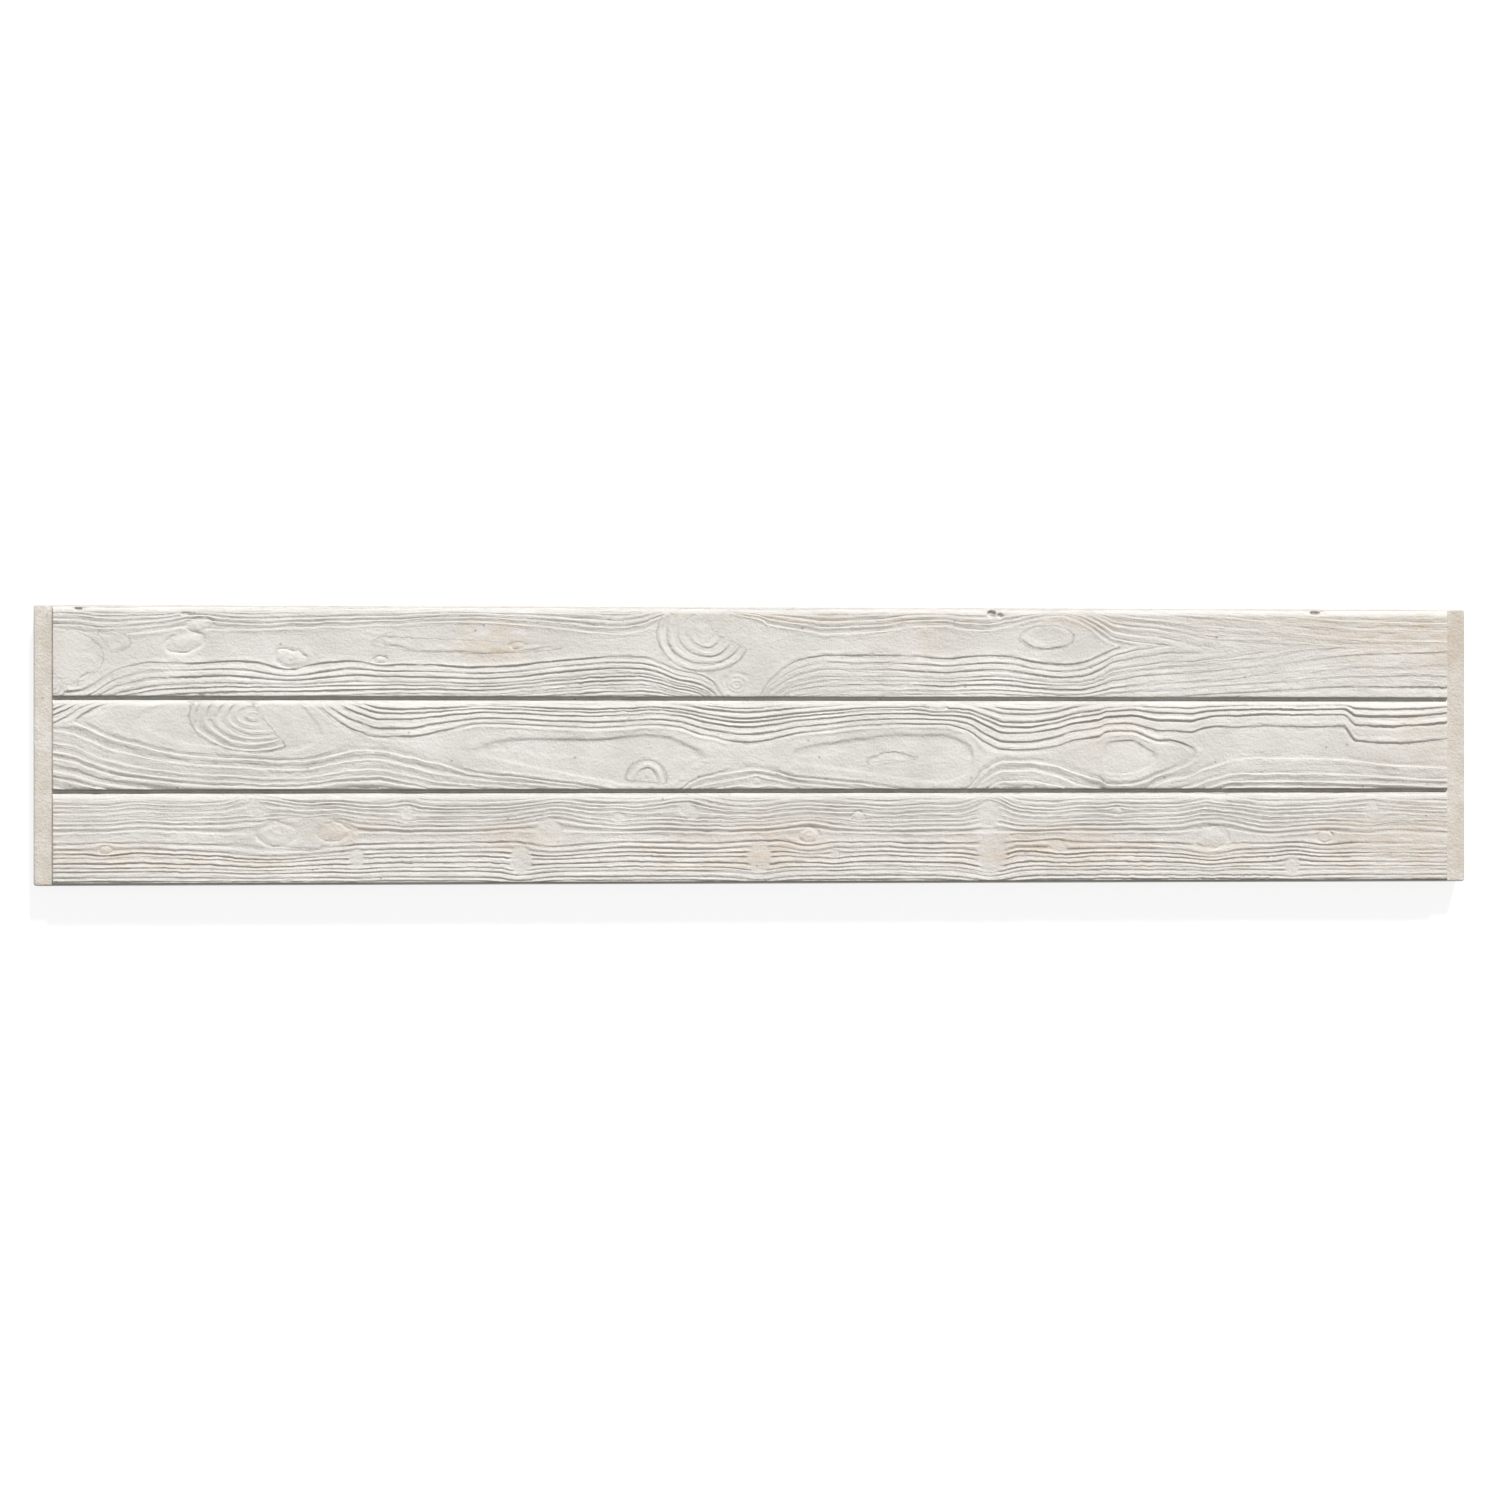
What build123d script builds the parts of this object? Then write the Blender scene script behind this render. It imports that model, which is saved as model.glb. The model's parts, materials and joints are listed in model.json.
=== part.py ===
from build123d import *
from math import radians, tan
import os

# Precast concrete fence slab with the face of three planks, lying on its back.
# X runs along the slab, Y up its face as it stands in a fence, and Z out of its face.
# The origin is the middle of the flat back. All sizes are in millimetres.

# The whole casting
slab_length = 2000
slab_height = 385
corner_radius = 4

# The plain tongue at each end, which slides into the slot of a post
tongue_width = 25
tongue_thickness = 38
back_arris = 2
face_arris = 1.5

# The planks that stand out of the face
plank_count = 3
plank_relief = 10
groove_floor = 3
side_draft = 14
lower_rim_radius = 1.5
upper_bevel_width = 5.5
upper_bevel_drop = 3.5

plank_pitch = slab_height / plank_count
plank_length = slab_length - 2 * tongue_width
plank_width = plank_pitch - groove_floor
draft_slope = tan(radians(side_draft))

# Corners of a plank's section, from the middle of its foot
lower_foot = (-plank_width / 2, 0)
lower_rim = (-plank_width / 2 + plank_relief * draft_slope, plank_relief)
bevel_foot_height = plank_relief - upper_bevel_drop
bevel_foot = (plank_width / 2 - bevel_foot_height * draft_slope, bevel_foot_height)
bevel_rim = (bevel_foot[0] - upper_bevel_width, plank_relief)
upper_foot = (plank_width / 2, 0)
plank_middles = [plank_pitch * (i - (plank_count - 1) / 2) for i in range(plank_count)]

os.makedirs("parts", exist_ok=True)

# The section that all planks share
with BuildSketch() as plank_section:
    with BuildLine():
        Polyline(lower_foot, lower_rim, bevel_rim, bevel_foot, upper_foot, close=True)
    make_face()
    worn_corner = plank_section.vertices().group_by(Axis.Y)[-1].sort_by(Axis.X)[0]
    fillet(worn_corner, radius=lower_rim_radius)

with BuildPart() as fence_slab:
    # The body of the slab, as thick as its tongues, with its arrises broken
    with BuildSketch():
        RectangleRounded(slab_length, slab_height, corner_radius)
    extrude(amount=tongue_thickness)
    back_edges = fence_slab.faces().sort_by(Axis.Z)[0].edges()
    chamfer(back_edges, length=back_arris)
    face_edges = fence_slab.faces().sort_by(Axis.Z)[-1].edges()
    chamfer(face_edges, length=face_arris)

    # The planks: sides that lean in for the mould, a worn lower rim and a broad bevel along the upper one
    with BuildSketch(Plane.YZ.offset(-plank_length / 2)):
        with Locations(*[(y, tongue_thickness) for y in plank_middles]):
            add(plank_section.sketch)
    extrude(amount=plank_length)

    # The planks' ends lean in as their sides do
    end_faces = fence_slab.faces().filter_by(Axis.X).filter_by(lambda face: face.center().Z > tongue_thickness)
    draft(end_faces, neutral_plane=Plane.XY.offset(tongue_thickness), angle=side_draft)

fence_slab.part.label = "fence_slab"
export_step(fence_slab.part, "parts/fence_slab.step")
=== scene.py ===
"""Dresses a precast concrete fence slab: its planks' wood grain, its finishes, the light and the camera."""

import json
import logging
import math
from collections.abc import Callable
from dataclasses import dataclass, field
from enum import Enum

import bmesh
import bpy
import numpy as np
from mathutils import Euler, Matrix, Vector

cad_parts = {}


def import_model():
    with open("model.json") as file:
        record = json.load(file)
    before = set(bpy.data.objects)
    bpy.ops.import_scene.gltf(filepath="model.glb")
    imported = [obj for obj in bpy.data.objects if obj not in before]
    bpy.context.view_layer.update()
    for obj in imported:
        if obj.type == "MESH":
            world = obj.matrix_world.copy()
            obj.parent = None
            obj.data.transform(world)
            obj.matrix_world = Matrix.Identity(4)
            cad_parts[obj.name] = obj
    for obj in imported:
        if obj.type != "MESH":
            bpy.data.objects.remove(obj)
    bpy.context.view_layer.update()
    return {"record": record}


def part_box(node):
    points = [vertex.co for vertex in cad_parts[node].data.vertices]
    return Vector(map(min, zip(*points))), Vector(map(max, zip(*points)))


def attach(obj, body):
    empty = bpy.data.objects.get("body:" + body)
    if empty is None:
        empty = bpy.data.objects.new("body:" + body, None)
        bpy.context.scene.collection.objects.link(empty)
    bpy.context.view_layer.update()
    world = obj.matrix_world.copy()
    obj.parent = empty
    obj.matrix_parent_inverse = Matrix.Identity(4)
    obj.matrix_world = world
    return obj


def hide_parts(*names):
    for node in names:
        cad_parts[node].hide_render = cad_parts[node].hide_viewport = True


Array = np.ndarray
Colour = tuple[float, float, float]
Span = tuple[float, float]

LOG = logging.getLogger("fence_slab")
SLAB_NODE = "fence_slab"
MM = 0.001


# Smooth noise and soft joins, used by every relief below


def lattice(i: Array, j: Array, seed: float) -> Array:
    """Gives each whole-number place a fixed value from 0 to 1.

    Args:
        i: Whole numbers along the first axis.
        j: Whole numbers along the second axis.
        seed: Picks one pattern out of many.

    Returns:
        The value at each place.
    """
    wave = np.sin(i * 127.1 + j * 311.7 + seed * 74.7) * 43758.5453
    return wave - np.floor(wave)


def noise(u: Array, v: Array, seed: float) -> Array:
    """Gives smooth noise from -1 to 1 whose bumps are one unit across.

    Args:
        u: Place along the first axis.
        v: Place along the second axis.
        seed: Picks one pattern out of many.

    Returns:
        The noise at each place.
    """
    i, j = np.floor(u), np.floor(v)
    a, b = u - i, v - j
    a, b = a * a * (3 - 2 * a), b * b * (3 - 2 * b)
    low = lattice(i, j, seed) * (1 - a) + lattice(i + 1, j, seed) * a
    high = lattice(i, j + 1, seed) * (1 - a) + lattice(i + 1, j + 1, seed) * a
    return 2 * (low * (1 - b) + high * b) - 1


def ramp(value: Array, start: float, end: float) -> Array:
    """Rises smoothly from 0 at start to 1 at end.

    Args:
        value: What is compared with the two ends.
        start: Where the rise begins.
        end: Where the rise is complete.

    Returns:
        The share of the rise at each value.
    """
    t = np.clip((value - start) / (end - start), 0, 1)
    return t * t * (3 - 2 * t)


def soft_least(a: Array, b: Array | float, blend: float) -> Array:
    """Takes the lesser of two heights and rounds the corner where they meet.

    Args:
        a: The first height.
        b: The second height.
        blend: How far apart the two may be and still be rounded.

    Returns:
        The rounded lesser height.
    """
    join = np.maximum(blend - np.abs(a - b), 0) / blend
    return np.minimum(a, b) - join * join * blend / 4


# The grain of one plank, in millimetres from the slab's middle and from the plank's lower foot


def through(stations: Array, x: Array) -> list[Array]:
    """Runs a smooth line through stations without overshooting them.

    Args:
        stations: A row for each station: its place along the slab, then the values there.
        x: Where the line is read.

    Returns:
        Each value of the row at every x.
    """
    places, values = stations[:, 0], stations[:, 1:]
    steps = np.diff(places)
    slopes = np.diff(values, axis=0) / steps[:, None]
    turns = slopes[:-1] * slopes[1:] <= 0
    mean = 2 * slopes[:-1] * slopes[1:] / np.where(turns, 1.0, slopes[:-1] + slopes[1:])
    lean = np.vstack([slopes[:1], np.where(turns, 0.0, mean), slopes[-1:]])
    x = np.clip(x, places[0], places[-1])
    at = np.clip(np.searchsorted(places, x) - 1, 0, len(steps) - 1)
    step = steps[at]
    t = (x - places[at]) / step
    end = t * t * (3 - 2 * t)
    leave, arrive = t * (1 - t) ** 2 * step, t * t * (t - 1) * step
    return [
        (1 - end) * values[at, k] + end * values[at + 1, k] + leave * lean[at, k] + arrive * lean[at + 1, k]
        for k in range(values.shape[1])
    ]


@dataclass(frozen=True)
class Oval:
    """A leaning oval on a plank, with its sizes in millimetres.

    Attributes:
        x: Its middle along the slab.
        y: Its middle above the plank's lower foot.
        half_length: Half its length along its own long axis.
        half_width: Half its width.
        lean: Turn of its long axis from the slab's length, in degrees.
    """

    x: float
    y: float
    half_length: float
    half_width: float
    lean: float = 0.0

    def reach(self, x: Array, y: Array) -> Array:
        """Gives the distance from the middle.

        Args:
            x: Place along the slab.
            y: Place above the plank's lower foot.

        Returns:
            The distance, where 1 is the rim.
        """
        turn = math.radians(self.lean)
        along = (x - self.x) * math.cos(turn) + (y - self.y) * math.sin(turn)
        across = (y - self.y) * math.cos(turn) - (x - self.x) * math.sin(turn)
        return np.sqrt((along / self.half_length) ** 2 + (across / self.half_width) ** 2)


@dataclass(frozen=True)
class Eye(Oval):
    """A place where growth rings close around themselves, as where the saw grazes a swelling.

    Attributes:
        rings: How many rings it holds.
        worn_towards: Direction in degrees in which its rings are worn away, or None where they close.
    """

    rings: float = 1.0
    worn_towards: float | None = None

    def share(self, x: Array, y: Array) -> Array:
        """Gives how far the eye's own rings take the place of the plank's.

        Args:
            x: Place along the slab.
            y: Place above the plank's lower foot.

        Returns:
            The share, from 0 to 1.
        """
        inside = 1 - ramp(self.reach(x, y), 1.0, 1.15)
        if self.worn_towards is None:
            return inside
        way = math.radians(self.worn_towards)
        ahead = (x - self.x) / self.half_length * math.cos(way) + (y - self.y) / self.half_width * math.sin(way)
        return inside * (1 - ramp(ahead, -0.25, 0.45))


@dataclass(frozen=True)
class Knot(Oval):
    """A branch that the plank cuts across, which the grain flows around.

    Attributes:
        proud: Height of its dome over the wood around it.
        circles: Rings that show on its face.
        push: How strongly it pushes the grain aside.
        rim_width: Width of the groove around it, as a share of its size.
        ring_height: Height of the rings on its face.
    """

    proud: float = 0.35
    circles: float = 0.0
    push: float = 0.5

    rim_width = 0.1
    ring_height = 0.45

    def shift(self, x: Array, y: Array) -> Array:
        """Gives how far the knot has pushed the grain at each place."""
        spread = ((x - self.x) / (self.half_length * 1.9)) ** 2 + ((y - self.y) / (self.half_width * 1.7)) ** 2
        return self.push * (y - self.y) * np.exp(-spread)

    def face(self, x: Array, y: Array) -> Array:
        """Gives the relief of the knot's dome, rim and rings.

        Args:
            x: Place along the slab.
            y: Place above the plank's lower foot.

        Returns:
            The height that it adds, in millimetres.
        """
        reach = self.reach(x, y) + 0.13 * noise(x / 9, y / 9, self.x) + 0.05 * noise(x / 4, y / 4, self.x + 2)
        dome = self.proud * (1 - ramp(reach, 0.3, 1.0))
        deep = min(1.3 * self.proud, 1.6) * (0.75 + 0.6 * noise(x / 14, y / 10, self.x + 1))
        rim = deep * np.exp(-(((reach - 1.04) / self.rim_width) ** 2))
        rings = self.ring_height * np.cos(2 * np.pi * self.circles * reach) * (1 - ramp(reach, 0.8, 1.1))
        lumps = 0.3 * noise(x / 7, y / 5, self.x + 3) + 0.17 * noise(x / 3.4, y / 2.8, self.x + 4)
        return dome - rim + (rings if self.circles else 0.0) + lumps * (1 - ramp(reach, 0.7, 1.05))


@dataclass(frozen=True)
class SlabInPhoto:
    """Where the slab lies in the photograph, in the photograph's own pixels.

    Attributes:
        zoom: How far the strips were enlarged from which the grain was read.
        strip_top: Upper edge of those strips.
        left: The slab's left end.
        width: Its length in the picture.
        top: Its upper edge at the left end.
        top_drop: How much lower that edge lies at the right end.
        bottom: Its lower edge at the left end.
        bottom_rise: How much higher that edge lies at the right end.
        middle: Where the middle of its length shows.
        metre: Pixels for each metre at the middle.
        taper: How fast the pixels for each metre shrink towards the right end.
        slab_height: Height of the real slab, in millimetres.
    """

    zoom: float = 5.06
    strip_top: float = 590.0
    left: float = 33.0
    width: float = 1431.0
    top: float = 604.5
    top_drop: float = 4.5
    bottom: float = 886.0
    bottom_rise: float = 6.0
    middle: float = 761.1
    metre: float = 715.5
    taper: float = 0.018
    slab_height: float = 385.0

    def along(self, pixel_x: float) -> float:
        """Gives the millimetres along the slab from its middle at a pixel."""
        from_middle = pixel_x - self.middle
        return 1000 * from_middle / (self.metre - self.taper * from_middle)

    def up(self, pixel_x: float, pixel_y: float) -> float:
        """Gives the millimetres up the slab's face from its middle.

        Args:
            pixel_x: The pixel's column.
            pixel_y: The pixel's row.

        Returns:
            The place there, in millimetres.
        """
        share = (pixel_x - self.left) / self.width
        top, bottom = self.top + self.top_drop * share, self.bottom - self.bottom_rise * share
        return self.slab_height * (0.5 - (pixel_y - top) / (bottom - top))


PHOTO = SlabInPhoto()


@dataclass(frozen=True)
class Reading:
    """A cross-section of a plank's grain, read from an enlarged strip of the photograph.

    Attributes:
        strip: Left edge of the strip, in pixels of the photograph.
        across: Place along the strip, in the strip's enlarged pixels, as are the next two.
        top: Upper edge of the plain band at the tree's heart.
        bottom: Lower edge of that band.
        above: Rings above the band, counted or set to match the picture.
        below: Rings below it, found in the same way.
        closed: Rings closed at the heart, set to match the picture.
    """

    strip: int
    across: int
    top: int
    bottom: int
    above: float
    below: float
    closed: float = 0.0

    def section(self, foot: float, gain: Span) -> tuple[float, ...]:
        """Turns the reading into whole millimetres on the plank and tenths of a ring.

        Args:
            foot: The plank's lower foot, from the slab's middle.
            gain: Rings for each ring that the reading has below the band, and for each above it.

        Returns:
            The place along the slab, the lower and upper edge of the band, the rings below it and above it, and the
            rings closed at the heart.
        """
        x = self.strip + self.across / PHOTO.zoom
        low, high = (PHOTO.up(x, PHOTO.strip_top + level / PHOTO.zoom) - foot for level in (self.bottom, self.top))
        below, above = round(self.below * gain[0], 1), round(self.above * gain[1], 1)
        return round(PHOTO.along(x)), round(low), round(high), below, above, self.closed


def strip(left: int, *rows: tuple[float, ...]) -> list[Reading]:
    """Names the readings from one strip of the photograph.

    Args:
        left: Left edge of the strip, in pixels of the photograph.
        rows: The other values of each reading, in the order of Reading.

    Returns:
        The readings.
    """
    return [Reading(left, *row) for row in rows]


@dataclass
class PlankFace:
    """The worn surface of a plank at many places.

    Attributes:
        height: Height over the unworn face, in millimetres.
        rings: Count of the growth rings outwards from the heart.
        groove: Share of painted shade in the groove at the foot of each ring's step, and more than 1 where painted
            shade lies under a plank's lower edge.
        knot: Share of a knot.
        rim: Share of the painted highlight along a plank's upper bevel, which faces the light.
    """

    height: Array
    rings: Array
    groove: Array
    knot: Array
    rim: Array

    @classmethod
    def blank(cls, shape: tuple[int, ...]) -> "PlankFace":
        """Gives the surface of plain concrete, which has no grain.

        Args:
            shape: Shape of the arrays.

        Returns:
            A surface without height, rings, grooves, knots or rim.
        """
        return cls(*(np.zeros(shape) for _ in range(5)))

    def place(self, other: "PlankFace", here: Array) -> None:
        """Puts another surface in at the places that a mask picks.

        Args:
            other: The surface of those places.
            here: The mask.
        """
        for name, value in vars(other).items():
            getattr(self, name)[here] = value


@dataclass(frozen=True)
class PlankGrain:
    """The growth rings of one plank and the relief that weathering has brushed out of them.

    Attributes:
        seed: Picks the small waves and wear of this plank.
        foot: The plank's lower foot, from the slab's middle.
        readings: Cross-sections of its grain, as read from the photograph.
        gain: Rings that it gets for each ring that the readings have below the plain band, and above it.
        steep_side: 1 where each ring falls off steeply on its side away from the heart, and -1 on its near side.
        step: Height of the steps at the widest rings.
        crowd: How much closer the rings lie at the plank's edges than at its heart.
        eyes: Where rings close around themselves.
        knots: Branches in the plank.
        flats: Places where the relief is nearly worn away.
        heart_rings: Rings that the plain band gains from its middle to its edge.
        waver: How much the rings waver, in millimetres.
        longest_slope: Longest slope behind a step, in millimetres.
        pinched: Whether rings pinch out at its heart, so that those at its edges run on.
        width: Width of a plank.
        worn_away: How far the whole face is worn down.
        groove_shade_share: How dark the painted shade in the groove under the highest step is, from 0 to 1.
        close_rings: Distance between rings under which their steps are lower, in millimetres.
        wide_rings: Distance between rings over which their steps are lower.
        pinch_share: Rings closed at a pinched heart for each ring that its lower side lacks.
        pinch_rings: The fewest, the usual and the most rings closed there.
        pinch_power: How strongly the lower side's width decides how many rings it has room for.
    """

    seed: float
    foot: float
    readings: list[Reading]
    gain: Span
    steep_side: float
    step: float
    crowd: float = 1.5
    eyes: list[Eye] = field(default_factory=list)
    knots: list[Knot] = field(default_factory=list)
    flats: list[Oval] = field(default_factory=list)
    heart_rings: float = 0.35
    waver: float = 1.0
    longest_slope: float = 5.0
    pinched: bool = False

    width = 125.3
    worn_away = 2.3
    groove_shade_share = 0.85
    close_rings = 6.5
    wide_rings = 15.0
    pinch_share = 0.3
    pinch_rings = (0.12, 0.52, 0.92)
    pinch_power = 0.85

    def sections(self) -> Array:
        """Turns the readings into cross-sections of the plank.

        Returns:
            A row for each: the place along the slab, the lower and upper edge of the plain band, the rings below it
            and above it, and the rings closed at the heart.
        """
        rows = [reading.section(self.foot, self.gain) for reading in self.readings]
        return np.array(self.pinch(rows) if self.pinched else rows, float)

    def pinch(self, rows: list[tuple[float, ...]]) -> list[tuple[float, ...]]:
        """Evens out the plain band and closes rings at the heart where the side below it narrows.

        Args:
            rows: The plank's cross-sections.

        Returns:
            The cross-sections with half the band's waver and with the rings closed at the heart.
        """
        low_mean, high_mean, below_mean = (sum(row[k] for row in rows) / len(rows) for k in (1, 2, 3))
        fewest, usual, most = self.pinch_rings
        pinched = []
        for x, low, high, _, above, _ in rows:
            low, high = round(low_mean + 0.5 * (low - low_mean)), round(high_mean + 0.5 * (high - high_mean))
            lacking = below_mean - below_mean * (low / low_mean) ** self.pinch_power
            closed = min(max(usual + self.pinch_share * lacking, fewest), most)
            below, above = round(below_mean + usual - closed, 1), round(above - lacking * self.pinch_share, 1)
            pinched.append((x, low, high, below, above, round(closed, 2)))
        return pinched

    def cover(self, x: Array, y: Array) -> Array:
        """Gives where knots cover the plank.

        Args:
            x: Place along the slab.
            y: Place above the plank's lower foot.

        Returns:
            1 on a knot's face, 0 away from every knot, and a soft edge between.
        """
        open_share = np.ones_like(x)
        for knot in self.knots:
            open_share *= ramp(knot.reach(x, y), 0.75, 1.12)
        return 1 - open_share

    def rings(self, x: Array, y: Array) -> Array:
        """Counts the growth rings outwards from the heart at each place.

        Args:
            x: Place along the slab.
            y: Place above the plank's lower foot.

        Returns:
            The count, where whole numbers are the steps between rings.
        """
        low, high, below, above, closed = through(self.sections(), x)
        level = y + self.waver * (0.8 * noise(x / 70, y / 40, self.seed) + 0.5 * noise(x / 24, y / 15, self.seed + 1))
        ragged = ramp(noise(x / 90, y / 30, self.seed + 10), -0.1, 0.6)
        level = level + 0.2 * noise(x / 8, y / 7, self.seed + 2) + 0.7 * ragged * noise(x / 6, y / 9, self.seed + 11)
        for knot in self.knots:
            level = level - knot.shift(x, y)
        middle, half = (low + high) / 2, np.maximum((high - low) / 2, 1.0)
        count = closed + self.heart_rings * np.clip(np.abs(level - middle) / half, 0, 1) ** 2
        for past, room, rings in ((level - high, self.width - high, above), (low - level, low, below)):
            room = np.maximum(room, 6.0)
            share = np.maximum(past, 0) / room
            start = np.minimum(2 * self.heart_rings * room / half, 0.9 * rings)
            count = count + start * share + (rings - start) * share**self.crowd
        return count + 0.14 * np.sin(2.1 * count + self.seed) + 0.09 * np.sin(5.3 * count + 2 * self.seed)

    def counted(self, x: Array, y: Array) -> tuple[Array, Array]:
        """Counts the rings, with each eye's own rings in the plank's place.

        Args:
            x: Place along the slab.
            y: Place above the plank's lower foot.

        Returns:
            The ring count, and the strength of the steps, which fades where an eye's rings meet the plank's.
        """
        count, strength = self.rings(x, y), np.ones_like(x)
        for eye in self.eyes:
            share, reach = eye.share(x, y), eye.reach(x, y)
            torn = min(eye.half_width / 50, 1) * 0.24 * noise(x / 34, y / 21, self.seed + 14)
            own = 0.5 + (eye.rings - 0.5) * reach + torn + 0.04 * noise(x / 8, y / 7, self.seed + 15)
            strength = strength * np.abs(2 * share - 1) * np.where(share > 0.5, 0.5 + 0.5 * ramp(reach, 0.25, 0.8), 1)
            count = np.where(share > 0.5, own, count)
        return count, strength

    def steps(self, x: Array, y: Array) -> tuple[Array, Array, Array]:
        """Finds the step between rings that is nearest to each place.

        Args:
            x: Place along the slab.
            y: Place above the plank's lower foot.

        Returns:
            The ring count, the distance between steps, and the height of the nearest step, in millimetres.
        """
        count, strength = self.counted(x, y)
        reach = 2.0
        across = (self.counted(x, y + reach)[0] - self.counted(x, y - reach)[0]) / (2 * reach)
        along = (self.counted(x + reach, y)[0] - self.counted(x - reach, y)[0]) / (2 * reach)
        spacing = 1 / np.clip(np.hypot(across, along), 0.02, 0.5)
        ring = np.round(count)
        worn = 0.55 + 0.45 * lattice(ring, np.sign(across), self.seed + 3)
        worn = worn * (
            0.85 + 0.3 * noise(x / 110, ring * 3.7, self.seed + 4) + 0.3 * noise(x / 34, ring * 2.3, self.seed + 13)
        )
        for flat in self.flats:
            worn = worn * (0.45 + 0.55 * ramp(flat.reach(x, y), 0.6, 1.1))
        height = self.step * worn * np.clip(spacing / self.close_rings, 0.5, 1)
        height = height * np.clip(self.wide_rings / spacing, 0.45, 1)
        height *= strength * (1 - self.cover(x, y))
        return count, spacing, height

    def relief(self, x: Array, y: Array) -> PlankFace:
        """Gives the worn surface of the plank.

        Args:
            x: Place along the slab.
            y: Place above the plank's lower foot.

        Returns:
            The worn surface, whose height is never above the unworn face.
        """
        count, spacing, step = self.steps(x, y)
        cover = self.cover(x, y)
        out = (count - np.round(count)) * spacing * self.steep_side
        edge, reach = np.clip(spacing * 0.09, 0.35, 0.7), np.clip(spacing * 0.3, 1.2, self.longest_slope)
        fall = np.tanh(out / edge)
        height = step * (0.5 * (out / spacing - 0.5 * fall) - 0.5 * fall * np.exp(-np.abs(out) / reach))
        # Painted shade: a dark band at the low foot of each ring's step, where the step's shade falls.
        groove = np.exp(-(((out - 0.7 * edge) / (1.3 * edge)) ** 2))
        height += 0.5 * noise(x / 80, y / 34, self.seed + 5)
        height += 0.32 * noise(x / 26, count * 3.1, self.seed + 6) * (1 - 0.6 * cover)
        height += 0.22 * noise(x / 9, count * 7.3 + y / 6, self.seed + 12) * (1 - 0.6 * cover)
        height += 0.09 * noise(x / 3.5, y / 2.2, self.seed + 7)
        torn = ramp(noise(x / 42, y / 17, self.seed + 8), 0.1, 0.6) * ramp(spacing, 7, 14) * (1 - cover)
        height += 0.34 * torn * noise(x / 6, y / 3.1, self.seed + 9)
        for knot in self.knots:
            height += knot.face(x, y)
        return PlankFace(
            height=np.minimum(height - self.worn_away, -0.08),
            rings=count,
            groove=self.groove_shade_share * groove * np.clip(step / self.step, 0, 1),
            knot=cover,
            rim=np.zeros_like(x),
        )


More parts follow.
